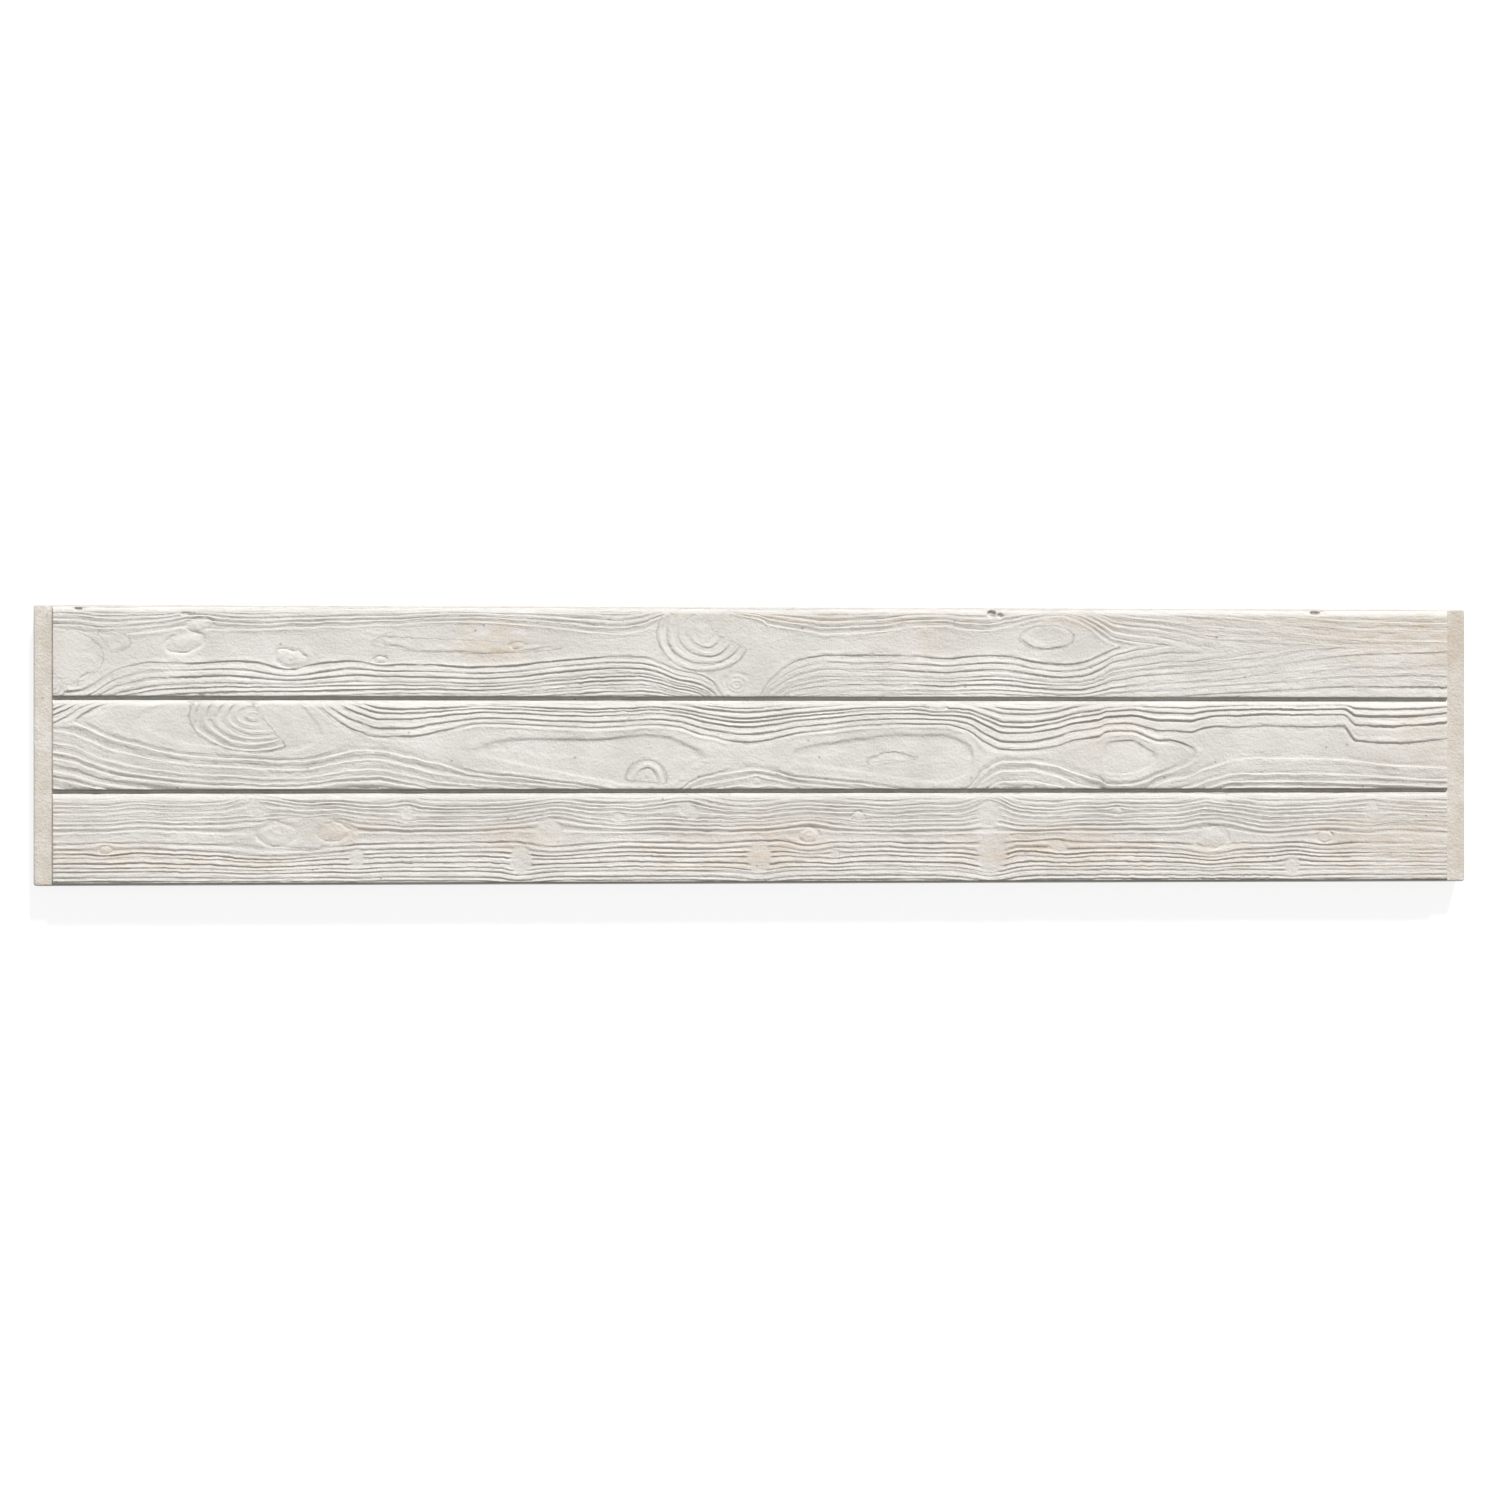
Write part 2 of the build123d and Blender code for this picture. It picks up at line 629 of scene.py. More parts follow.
UPPER_GRAIN = PlankGrain(
    seed=11.0,
    steep_side=1.0,
    step=2.8,
    foot=65.67,
    gain=(1.5, 1.25),
    readings=[
        *strip(
            20, (160, 215, 505, 4.5, 0.3, 2.62), (300, 222, 500, 4.5, 0.6, 2.62), (370, 235, 470, 4.7, 1.1, 2.62),
            (400, 240, 450, 4.8, 1.6, 2.62), (480, 238, 402, 5, 2.5, 2.62), (560, 234, 372, 5, 3, 2.62),
            (660, 232, 350, 5, 3.4, 2.62), (870, 210, 347, 5, 3.9, 2.62), (1050, 212, 345, 4.6, 4, 2.62),
            (1230, 208, 352, 4.4, 4.2, 2.62),
        ),
        *strip(
            300, (100, 195, 355, 4.3, 4.4, 2.62), (250, 190, 352, 4.2, 4.6, 2.62), (400, 185, 360, 4.2, 4.8, 2.62),
            (640, 172, 370, 3.8, 4.8, 2.62), (860, 168, 385, 3.6, 4.8, 2.62), (1050, 175, 378, 3.7, 5.2, 2.62),
            (1300, 200, 350, 3.9, 6, 2.62), (1500, 225, 335, 4.2, 6.6, 2.62),
        ),
        *strip(
            600, (100, 228, 330, 4.3, 6.8, 2.62), (200, 215, 330, 4, 6.8, 2.62), (280, 180, 350, 3.4, 6.6, 2.62),
            (340, 145, 375, 3, 6.2, 2.62), (400, 118, 395, 2.4, 5.6, 2.62), (480, 108, 410, 2.2, 4.6, 2.62),
            (560, 115, 452, 2.5, 3, 2.58), (610, 125, 505, 2.8, 1.3, 2.45), (680, 140, 545, 3, 0.2, 2.3),
            (740, 152, 545, 3.1, 0.1, 2.3), (790, 162, 525, 3.2, 0.5, 2.38), (860, 185, 440, 3.5, 2.6, 2.62),
            (1000, 205, 345, 3.9, 4.6, 2.62), (1150, 225, 322, 4, 5, 2.62), (1400, 215, 320, 3.9, 5.2, 2.62),
        ),
        *strip(
            900, (60, 192, 325, 3.3, 5.3, 2.62), (230, 190, 335, 3.2, 5.3, 2.62), (320, 205, 330, 3.3, 5.4, 2.62),
            (430, 212, 322, 3.4, 5.5, 2.6), (540, 190, 325, 3, 5.4, 2.6), (680, 150, 350, 2.4, 5.2, 2.6),
            (800, 132, 362, 2.2, 5, 2.6), (900, 165, 355, 3, 4.9, 2.6), (1030, 245, 318, 4.48, 5.2, 2.8),
            (1090, 268, 300, 4.4, 5.07, 3), (1180, 270, 300, 4.24, 4.87, 3.55), (1296, 270, 298, 4, 4.6, 4),
            (1430, 278, 310, 3.76, 4.33, 4.6),
        ),
        *strip(
            1180, (90, 284, 322, 3.52, 4.13, 5), (300, 282, 315, 3.36, 3.93, 5.6), (490, 276, 305, 3.28, 3.73, 6.1),
            (885, 270, 300, 3.2, 3.33, 7), (1350, 262, 305, 3.04, 2.93, 7.4),
        ),
    ],
    eyes=[
        Eye(-401, 77, 130, 15, rings=1.0, worn_towards=65),
        Eye(-80, 90, 62, 50, rings=4.6, worn_towards=60),
        Eye(400, 85, 36, 16, rings=1.0),
        Eye(-972, 14, 16, 15, rings=3.0),
        Eye(-982, 55, 72, 38, rings=1.0, worn_towards=205),
        Eye(-900, 76, 30, 14, rings=1.0, worn_towards=200),
    ],
    knots=[
        Knot(-776, 99, 18, 10, lean=10, proud=1.1, push=0.8),
        Knot(-794, 76, 26, 13, lean=12, proud=1.2, push=0.8),
        Knot(-651, 53, 21, 13, lean=-14, proud=1.8, circles=1.5, push=1.1),
        Knot(-528, 52, 10, 5, proud=1.3, push=0.8),
        Knot(-339, 72, 11, 5, proud=0.9, push=0.8),
        Knot(-86, 94, 21, 20, circles=1.0, proud=0.5, push=0.3),
        Knot(-35, 20, 17, 15, circles=2.5, proud=0.5, push=0.3),
    ],
    flats=[Oval(860, 70, 230, 75), Oval(640, 50, 170, 80), Oval(105, 25, 140, 45), Oval(-860, 62, 90, 50)],
)

MIDDLE_GRAIN = PlankGrain(
    seed=23.0,
    steep_side=-1.0,
    step=3.9,
    foot=-62.67,
    gain=(1.2, 1.4),
    readings=[
        *strip(
            20, (160, 678, 706, 2.8, 5.4, 1.5), (240, 650, 700, 2.4, 5.4, 1.1), (330, 607, 708, 1.7, 5.4, 0.75),
            (450, 580, 728, 1, 5.3, 0.35), (620, 558, 750, 0.4, 5.2, 0), (760, 552, 768, 0.2, 5, -0.2),
            (880, 552, 780, 0.2, 4.8, -0.3), (1100, 552, 795, 0.2, 4.6, -0.36), (1250, 552, 806, 0.2, 4.4, -0.36),
            (1400, 568, 812, 0.4, 4.4, -0.26),
        ),
        *strip(
            300, (90, 625, 815, 1.2, 4.5, 0), (180, 672, 815, 2, 4.5, 0.38), (290, 714, 812, 2.9, 4.4, 0.6),
            (400, 742, 818, 3.6, 4.3, 0.6), (560, 738, 848, 4, 3.8, 0.6), (700, 715, 880, 4.1, 3.2, 0.6),
            (900, 700, 908, 4.2, 3.6, 0.08), (1070, 703, 922, 4.4, 3.2, -0.03), (1300, 722, 950, 4.8, 2.3, -0.12),
            (1500, 730, 980, 5, 1, -0.16),
        ),
        *strip(
            600, (130, 722, 1000, 4.8, 0.1, -0.2), (230, 715, 1000, 4.8, 0, -0.2), (330, 716, 1000, 4.9, 0, -0.18),
            (400, 726, 990, 5.1, 0.4, -0.1), (450, 738, 950, 5.2, 1.4, -0.03), (540, 760, 918, 5.6, 2.1, 0.1),
            (740, 775, 905, 5.8, 2.8, 0.5), (870, 765, 910, 5.6, 2.9, 0.4), (1000, 748, 922, 5.5, 2.5, 0.01),
            (1150, 730, 935, 5.2, 2, -0.06), (1300, 712, 950, 4.9, 1.5, -0.11), (1500, 705, 975, 4.8, 0.9, -0.17),
        ),
        *strip(
            900, (100, 708, 985, 4.6, 0.2, -0.18), (200, 708, 990, 4.6, 0.1, -0.185),
            (330, 738, 965, 4.8, 0.6, -0.1), (420, 772, 905, 5, 1.8, 0.5), (520, 800, 868, 5.3, 2.6, 0.65),
            (640, 800, 868, 5.4, 2.6, 0.65), (770, 786, 888, 5.2, 2.4, 0.65), (880, 764, 915, 4.6, 1.5, 0.5),
            (997, 757, 934, 4.29, 1.25, 0.3), (1042, 758, 934, 4.29, 1.25, -0.2), (1161, 761, 922, 4, 1.17, -0.3),
            (1243, 782, 909, 3.86, 1.33, -0.12), (1296, 789, 901, 3.71, 1.67, 0.08),
            (1355, 774, 898, 3.57, 1.83, 0.35),
        ),
        *strip(
            1180, (43, 758, 894, 3.36, 1.92, 0.82), (103, 725, 871, 3.14, 2.08, 1.1),
            (170, 694, 874, 2.86, 2.33, 1.45), (267, 685, 861, 2.64, 2.67, 1.62), (491, 679, 855, 2.57, 2.67, 1.62),
            (812, 679, 861, 2.57, 2.67, 1.62), (882, 752, 868, 2.57, 2.58, 1.62),
            (1088, 762, 888, 2.57, 2.42, 1.62), (1349, 739, 903, 2.5, 2.17, 1.62),
        ),
    ],
    eyes=[
        Eye(-700, 104, 82, 48, rings=6.0, worn_towards=25),
        Eye(-161, 15, 27, 28, rings=3.0, worn_towards=-95),
        Eye(184, 40, 34, 15, rings=1.0, worn_towards=-70),
    ],
    knots=[
        Knot(-8, 13, 7, 6, proud=0.5, push=0.8),
        Knot(246, 118, 13, 7, proud=0.2, push=0.8),
    ],
    flats=[Oval(-615, 95, 34, 42)],
)

LOWER_GRAIN = PlankGrain(
    seed=37.0,
    steep_side=1.0,
    step=2.9,
    heart_rings=1.2,
    waver=0.5,
    longest_slope=2.3,
    foot=-191.0,
    gain=(1.32, 1.25),
    pinched=True,
    readings=[
        *strip(
            20, (160, 1215, 1300, 6.5, 6), (400, 1205, 1300, 6.8, 6.2), (600, 1185, 1285, 6, 6.8),
            (800, 1195, 1300, 6.4, 6.2), (1000, 1190, 1325, 6, 5.4), (1150, 1165, 1345, 5.2, 5),
            (1300, 1180, 1335, 5.6, 5.4), (1450, 1195, 1320, 6.2, 6),
        ),
        *strip(
            300, (180, 1178, 1300, 6, 6.2), (300, 1195, 1298, 6.5, 6.2), (500, 1205, 1285, 6.6, 6.8),
            (700, 1215, 1278, 7, 7), (870, 1215, 1270, 7, 7.4), (1000, 1210, 1282, 7, 7),
            (1100, 1208, 1306, 6.8, 6), (1200, 1198, 1300, 6.4, 6.1), (1300, 1175, 1300, 5.8, 6.2),
            (1450, 1190, 1295, 6.2, 6.4),
        ),
        *strip(
            600, (150, 1205, 1270, 6.5, 7.2), (400, 1185, 1290, 5.8, 6.6), (570, 1205, 1295, 6.6, 6.4),
            (720, 1225, 1290, 7.2, 6.4), (800, 1225, 1308, 7.2, 5.8), (940, 1200, 1275, 6.6, 6.8),
            (1050, 1185, 1290, 6.2, 6.4), (1200, 1200, 1290, 6.6, 6.4), (1450, 1225, 1260, 7, 7.4),
        ),
        *strip(
            900, (100, 1210, 1290, 6.6, 6.2), (300, 1215, 1290, 6.8, 6), (380, 1195, 1310, 6, 5.4),
            (440, 1172, 1336, 5.2, 4.8), (520, 1200, 1310, 6, 5.4), (600, 1230, 1265, 7, 6.6),
            (750, 1230, 1260, 7.2, 6.6), (900, 1205, 1285, 6.8, 6.2), (1100, 1205, 1290, 6.8, 6),
            (1400, 1200, 1295, 6.6, 5.8),
        ),
        *strip(
            1180, (150, 1170, 1320, 5.4, 5), (280, 1195, 1295, 6.2, 6), (450, 1225, 1300, 7, 5.6),
            (600, 1220, 1285, 7, 6), (720, 1215, 1290, 6.8, 5.8), (850, 1205, 1295, 6.4, 5.6),
            (1000, 1190, 1300, 6.6, 5.4), (1350, 1220, 1320, 7, 5),
        ),
    ],
    knots=[
        Knot(-669, 69, 27, 16, proud=1.0, circles=1.5),
        Knot(-698, 105, 16, 12, lean=-38, proud=0.1),
        Knot(-591, 71, 21, 12, proud=0.9),
        Knot(-902, 48, 10, 6, proud=1.2),
        Knot(-561, 36, 11, 14, proud=0.3, push=0.15),
        Knot(-491, 99, 9, 11, proud=0.1),
        Knot(-335, 33, 16, 22, proud=0.3, push=0.3),
        Knot(-295, 74, 21, 16, lean=-20, proud=0.2),
        Knot(-200, 92, 10, 7, proud=0.1),
        Knot(-103, 101, 17, 11, lean=-35, proud=0.1),
        Knot(-4, 36, 18, 22, proud=0.3, push=0.3),
        Knot(65, 66, 14, 11, proud=0.9, circles=1.5),
        Knot(101, 40, 8, 7, proud=0.1),
        Knot(134, 92, 9, 7, proud=0.8),
        Knot(318, 95, 18, 22, lean=-20, proud=0.3, push=0.3),
        Knot(322, 40, 22, 30, proud=0.3, push=0.3),
        Knot(415, 50, 15, 10, lean=-15, proud=0.2),
        Knot(500, 99, 8, 6, proud=1.0),
        Knot(634, 62, 22, 15, proud=1.2),
        Knot(645, 118, 12, 8, proud=0.3),
        Knot(750, 21, 12, 13, proud=0.3, push=0.3),
        Knot(796, 62, 13, 9, proud=1.0, circles=1.5),
        Knot(864, 99, 11, 16, proud=0.3, push=0.3),
    ],
    eyes=[Eye(-630, 70, 66, 21, rings=1.0)],
    flats=[Oval(925, 62, 95, 75), Oval(-850, 108, 170, 24)],
)
PLANK_GRAINS = [LOWER_GRAIN, MIDDLE_GRAIN, UPPER_GRAIN]


@dataclass(frozen=True)
class Chip:
    """A place where the arris of the casting has broken away. Sizes are in millimetres.

    Attributes:
        x: Its middle along the slab.
        y: Its middle across the slab.
        half_length: Half its length along the slab.
        half_width: Half its width.
        depth: How deep it is.
    """

    x: float
    y: float
    half_length: float
    half_width: float
    depth: float

    def pit(self, x: Array, y: Array) -> Array:
        """Gives the depth that the chip takes off each place.

        Args:
            x: Place along the slab.
            y: Place across the slab.

        Returns:
            The depth, in millimetres.
        """
        ragged = 0.25 * noise(x / 2.2, y / 2.2, 71.0)
        reach = ((x - self.x) / self.half_length) ** 2 + ((y - self.y) / self.half_width) ** 2
        return self.depth * (1 - ramp(reach + ragged, 0.4, 1.2))


@dataclass(frozen=True)
class Wash:
    """A tan cloud that damp or form oil has left in the concrete. Sizes are in millimetres.

    Attributes:
        x: Its middle along the slab.
        y: Its middle across the slab.
        half_length: How far it reaches along the slab.
        half_width: How far it reaches across it.
        strength: How strong it is beside other clouds.
        full_strength: Share of the tan colour in the middle of a cloud whose strength is 1.
    """

    x: float
    y: float
    half_length: float
    half_width: float
    strength: float

    full_strength = 0.75

    def tint(self, x: Array, y: Array) -> Array:
        """Gives the strength of the cloud at each place.

        Args:
            x: Place along the slab.
            y: Place across the slab.

        Returns:
            The share of the tan colour.
        """
        reach = ((x - self.x) / self.half_length) ** 2 + ((y - self.y) / self.half_width) ** 2
        return self.full_strength * self.strength * np.exp(-reach)


# Clouds and chips, from the slab's middle
WASHES = [
    Wash(-365, 150, 60, 22, 0.8), Wash(-375, 128, 45, 14, 0.7), Wash(215, 145, 70, 30, 0.6),
    Wash(480, 20, 60, 40, 0.5), Wash(990, 150, 190, 45, 0.9), Wash(960, 10, 110, 60, 0.55),
    Wash(930, -140, 170, 55, 0.75), Wash(-560, -118, 90, 18, 0.7), Wash(-890, -150, 120, 18, 0.6),
    Wash(-330, -130, 80, 24, 0.5), Wash(20, -132, 100, 34, 0.75), Wash(-100, -150, 140, 24, 0.5),
    Wash(330, -150, 110, 26, 0.8), Wash(560, -150, 150, 22, 0.6), Wash(430, -128, 60, 18, 0.7),
    Wash(-680, -165, 180, 16, 0.4), Wash(60, 178, 230, 12, 0.5), Wash(420, 172, 90, 14, 0.35),
    Wash(700, 168, 200, 16, 0.6), Wash(-985, -60, 30, 60, 0.5), Wash(-985, 120, 25, 60, 0.5),
]
CHIPS = [
    Chip(-939, 186, 6, 3, 3.5), Chip(-792, 180, 9, 2.5, 2.4), Chip(322, 184, 7, 5, 6.0), Chip(334, 181, 5, 4, 5.0),
    Chip(782, 186, 7, 3.5, 4.0),
]


class Region(Enum):
    """A part of the casting with a finish of its own, and its place among the slab's materials."""

    PLANKS = 0
    TONGUES = 1
    STRUCK_BACK = 2


@dataclass
class FaceGrid:
    """Lines of a grid over the slab's face, close together where the relief turns sharply.

    Attributes:
        step_along: Distance between lines on a plank, along the slab, in millimetres.
        step_across: Distance between lines on a plank, across it, in millimetres.
        wall_steps: Distances of the lines over a plank's wall from its edge, in millimetres.
    """

    step_along: float
    step_across: float
    wall_steps: tuple[float, ...] = (0.0, 0.5, 1.0, 1.6, 2.2, 3.0, 4.0, 5.0, 6.0, 6.9, 7.8)

    def span(self, start: float, end: float, step: float) -> list[float]:
        """Gives lines over a plank from start to end, with its two walls followed closely.

        Args:
            start: One edge of the plank.
            end: Its other edge.
            step: The widest distance between lines between the walls.

        Returns:
            The places of the lines, both edges among them.
        """
        inset = self.wall_steps[-1]
        count = math.ceil((end - start - 2 * inset) / step)
        inner = np.linspace(start + inset, end - inset, count + 1)[1:-1]
        low = [start + s for s in self.wall_steps]
        high = [end - s for s in reversed(self.wall_steps)]
        return [*low, *inner.tolist(), *high]


@dataclass
class CastSlab:
    """The whole casting as one closed skin, fitted to the frame. Sizes are in millimetres.

    Attributes:
        length: Length of the slab.
        height: Height of the slab as it stands in a fence.
        face_height: Height of the planks' faces over the back.
        tongue_thickness: Thickness of the tongues.
        tongue_width: Width of the tongues.
        groove_floor: Width of the floor of the groove between two planks.
        wall_run: How far a plank's side leans in from its foot to its face.
        bevel_width: Width of the bevel along a plank's upper rim.
        bevel_drop: Height of that bevel.
        rim_blend: How much of the rim's corner is worn round.
        slab_corner: Radius of the slab's corners.
        face_arris: Size of the broken edge around the face.
        back_arris: Size of the broken edge around the back.
        painted_under_shade: Strength of the painted shade under each plank's lower edge.
        painted_under_shade_reach: Where that painted shade starts to fade and where it ends, from the plank's lower
            foot.
        painted_highlight_reach: Where the painted highlight along the upper bevel starts to fade and where it ends,
            from the plank's upper foot.
        sharp_angle: Angle in degrees from which an edge shows sharp.
        triangles: The most triangles that the skin may have before its back is closed.
    """

    length: float
    height: float
    face_height: float
    tongue_thickness: float
    tongue_width: float
    groove_floor: float = 3.0
    wall_run: float = 2.49
    bevel_width: float = 5.5
    bevel_drop: float = 3.5
    rim_blend: float = 1.2
    slab_corner: float = 4.0
    face_arris: float = 1.5
    back_arris: float = 2.0
    painted_under_shade: float = 1.7
    painted_under_shade_reach: Span = (2.1, 3.6)
    painted_highlight_reach: Span = (2.8, 6.0)
    sharp_angle: float = 58.0
    triangles: int = 195_000

    @property
    def plank_pitch(self) -> float:
        """Distance from one plank to the next."""
        return self.height / len(PLANK_GRAINS)

    @property
    def plank_feet(self) -> list[Span]:
        """Finds where the planks stand.

        Returns:
            The lower and upper foot of each plank, from the slab's middle.
        """
        half = (self.plank_pitch - self.groove_floor) / 2
        middles = [self.plank_pitch * (i + 0.5) - self.height / 2 for i in range(len(PLANK_GRAINS))]
        return [(middle - half, middle + half) for middle in middles]

    def plank_rise(self, x: Array, y: Array, foot: Span) -> tuple[Array, Array]:
        """Gives the plank's unworn section, without its level face.

        Args:
            x: Place along the slab.
            y: Place across the slab.
            foot: The plank's lower and upper foot.

        Returns:
            The height of the nearest side over the groove's floor, and the distance in from the nearest foot.
        """
        end = self.length / 2 - self.tongue_width - np.abs(x)
        steep = (self.face_height - self.tongue_thickness) / self.wall_run
        sides = np.minimum(end, y - foot[0]) * steep
        above = foot[1] - y
        wall_top = self.face_height - self.tongue_thickness - self.bevel_drop - PlankGrain.worn_away
        bevel = wall_top + (above - wall_top / steep) * self.bevel_drop / self.bevel_width
        rise = np.minimum(sides, np.minimum(above * steep, bevel))
        return rise, np.minimum(np.minimum(end, y - foot[0]), above)

    def face(self, x: Array, y: Array) -> tuple[Array, PlankFace]:
        """Gives the cast face at each place.

        Args:
            x: Place along the slab.
            y: Place across the slab.

        Returns:
            The height over the back, and the grain.
        """
        rim = np.minimum(self.length / 2 - np.abs(x), self.height / 2 - np.abs(y))
        z = self.tongue_thickness - np.clip(self.face_arris - rim, 0, self.face_arris)
        z -= (0.12 + 0.12 * noise(x / 9, y / 9, 51.0) + 0.05 * noise(x / 2.5, y / 2.5, 52.0)) * ramp(rim, 0.5, 3)
        grown = PlankFace.blank(x.shape)
        rise_full = self.face_height - self.tongue_thickness
        for foot, grain in zip(self.plank_feet, PLANK_GRAINS, strict=True):
            here = (y > foot[0]) & (y < foot[1]) & (np.abs(x) < self.length / 2 - self.tongue_width)
            px, py = x[here], y[here]
            rise, inside = self.plank_rise(px, py, foot)
            ragged = 0.5 * noise(px / 60, py / 60, grain.seed + 20) + 0.35 * noise(px / 13, py / 13, grain.seed + 21)
            worn = grain.relief(px, py - foot[0])
            rise = soft_least(rise + (ragged - 0.85) * ramp(inside, 1, 3), rise_full + worn.height, self.rim_blend)
            z[here] = np.maximum(z[here], self.tongue_thickness + np.maximum(rise, 0))
            # Painted shade along each plank's lower wall and edge, which face away from the light; it is stored in
            # the groove mark.
            under = self.painted_under_shade * (1 - ramp(py - foot[0], *self.painted_under_shade_reach))
            worn.groove = np.maximum(worn.groove * ramp(inside, 2, 5), under)
            # Painted highlight: a paler colour along the plank's upper bevel, which faces the light.
            worn.rim = 1 - ramp(foot[1] - py, *self.painted_highlight_reach)
            grown.place(worn, here)
        # Painted shade on the strip under the lowest plank's lower edge.
        under_edge = (y < self.plank_feet[0][0]) & (np.abs(x) < self.length / 2 - self.tongue_width)
        grown.groove[under_edge] = self.painted_under_shade
        for chip in CHIPS:
            z -= chip.pit(x, y)
        return z, grown

    def grid_lines(self, grid: FaceGrid) -> tuple[Array, Array]:
        """Lays the grid's lines over the face.

        Args:
            grid: How close together the lines are.

        Returns:
            The places of the lines along the slab and across it.
        """
        end, foot = self.length / 2, self.length / 2 - self.tongue_width
        tongue = [end, end - self.face_arris, *np.linspace(end - 4, foot + 2, 8).tolist()]
        along = [*[-t for t in tongue], *grid.span(-foot, foot, grid.step_along), *reversed(tongue)]
        edge = self.height / 2
        across = [-edge, -edge + self.face_arris]
        for low, high in self.plank_feet:
            across += grid.span(low, high, grid.step_across)
            across.append(high + self.groove_floor / 2)
        across[-1] = edge - self.face_arris
        across.append(edge)
        return np.array(along), np.unique(np.round(across, 4))

    def rounded(self, x: Array, y: Array) -> tuple[Array, Array]:
        """Bends the square grid's four corners in to the slab's corner radius.

        Args:
            x: Place along the slab.
            y: Place across the slab.

        Returns:
            The places after bending.
        """
        in_x = np.abs(x) - (self.length / 2 - self.slab_corner)
        in_y = np.abs(y) - (self.height / 2 - self.slab_corner)
        corner = (in_x > 0) & (in_y > 0)
        far = np.maximum(in_x, in_y)
        shrink = np.where(corner, far / np.maximum(np.hypot(in_x, in_y), 1e-9), 1.0)
        new_x = np.sign(x) * (self.length / 2 - self.slab_corner + in_x * shrink)
        new_y = np.sign(y) * (self.height / 2 - self.slab_corner + in_y * shrink)
        return np.where(corner, new_x, x), np.where(corner, new_y, y)

    def skin(self, grid: FaceGrid) -> bpy.types.Object:
        """Builds the slab's skin from a fine grid over its face, still open at its back.

        Args:
            grid: How close together the grid's lines are.

        Returns:
            The skin, not yet thinned to its triangles.
        """
        along, across = self.grid_lines(grid)
        columns, rows = len(along), len(across)
        x, y = (a.ravel() for a in np.meshgrid(along, across))
        z = self.face(x, y)[0]
        bent_x, bent_y = self.rounded(x, y)
        face_points = np.column_stack([bent_x, bent_y, z])
        index = np.arange(columns * rows).reshape(rows, columns)
        quads = np.stack([index[:-1, :-1], index[:-1, 1:], index[1:, 1:], index[1:, :-1]], axis=-1).reshape(-1, 4)
        rim = np.concatenate([index[0, :-1], index[:-1, -1], index[-1, :0:-1], index[:0:-1, 0]])
        rim_points = face_points[rim]
        drop = rim_points.copy()
        drop[:, 2] = self.back_arris
        under = drop.copy()
        under[:, 0] *= 1 - 2 * self.back_arris / self.length
        under[:, 1] *= 1 - 2 * self.back_arris / self.height
        under[:, 2] = 0.0
        points = np.concatenate([face_points, drop, under]) * MM
        sides, loop = [], len(rim)
        upper = rim
        for ring in range(2):
            lower = columns * rows + ring * loop + np.arange(loop)
            sides.append(np.stack([upper, lower, np.roll(lower, -1), np.roll(upper, -1)], axis=-1))
            upper = lower
        faces = np.concatenate([quads, *sides]).tolist()
        mesh = bpy.data.meshes.new("cast_slab")
        mesh.from_pydata(points.tolist(), [], faces)
        skin = bpy.data.objects.new("cast_slab", mesh)
        bpy.context.scene.collection.objects.link(skin)
        return skin

    @staticmethod
    def close_back(mesh: bpy.types.Mesh) -> None:
        """Fills the open back of the skin and turns every face outwards.

        Args:
            mesh: The skin, which is changed in place.
        """
        work = bmesh.new()
        work.from_mesh(mesh)
        border = [edge for edge in work.edges if edge.is_boundary]
        bmesh.ops.triangle_fill(work, edges=border, use_beauty=True, use_dissolve=False)
        bmesh.ops.recalc_face_normals(work, faces=work.faces)
        work.to_mesh(mesh)
        work.free()

    def thin(self, skin: bpy.types.Object) -> bpy.types.Object:
        """Thins the skin to its triangles, which keeps them where the relief turns.

        Args:
            skin: The fine skin, which is replaced.

        Returns:
            The thinned skin.
        """
        before = sum(len(face.vertices) - 2 for face in skin.data.polygons)
        if before > self.triangles:
            thinner = skin.modifiers.new("thin", "DECIMATE")
            thinner.ratio = self.triangles / before
            bpy.context.view_layer.update()
            graph = bpy.context.evaluated_depsgraph_get()
            thinned = bpy.data.meshes.new_from_object(skin.evaluated_get(graph))
            thinned.name = "cast_slab_skin"
            skin.modifiers.clear()
            skin.data = thinned
        LOG.info("skin thinned from %d to %d faces", before, len(skin.data.polygons))
        return skin

    def mark(self, mesh: bpy.types.Mesh) -> None:
        """Stores on the skin what its finishes read: grain coordinates, painted shade in grooves and under edges,
        knots, the painted highlight along the bevels, and clouds.

        Args:
            mesh: The skin, which is changed in place.
        """
        count = len(mesh.vertices)
        flat = np.empty(count * 3, np.float32)
        mesh.vertices.foreach_get("co", flat)
        points = flat.reshape(-1, 3).astype(float) / MM
        x, y, z = points.T
        grown = self.face(x, y)[1]
        tint = sum(wash.tint(x, y) for wash in WASHES)
        tint = np.clip(tint * (0.75 + 0.5 * noise(x / 26, y / 11, 61.0) + 0.3 * noise(x / 9, y / 5, 62.0)), 0, 1)
        on_face = (z > self.tongue_thickness + 2).astype(float)
        # groove holds painted shade and rim a painted highlight.
        values = {
            "groove": grown.groove * on_face, "knot": grown.knot * on_face, "rim": grown.rim * on_face, "tint": tint,
        }
        for name, value in values.items():
            layer = mesh.attributes.new(name, "FLOAT", "POINT")
            layer.data.foreach_set("value", value.astype(np.float32))
        corners = np.empty(len(mesh.loops), np.int32)
        mesh.loops.foreach_get("vertex_index", corners)
        layer = mesh.uv_layers.new(name="grain")
        grain = np.column_stack([x / 100, np.where(on_face > 0, grown.rings, y / 6)])[corners]
        layer.data.foreach_set("uv", grain.ravel().astype(np.float32))

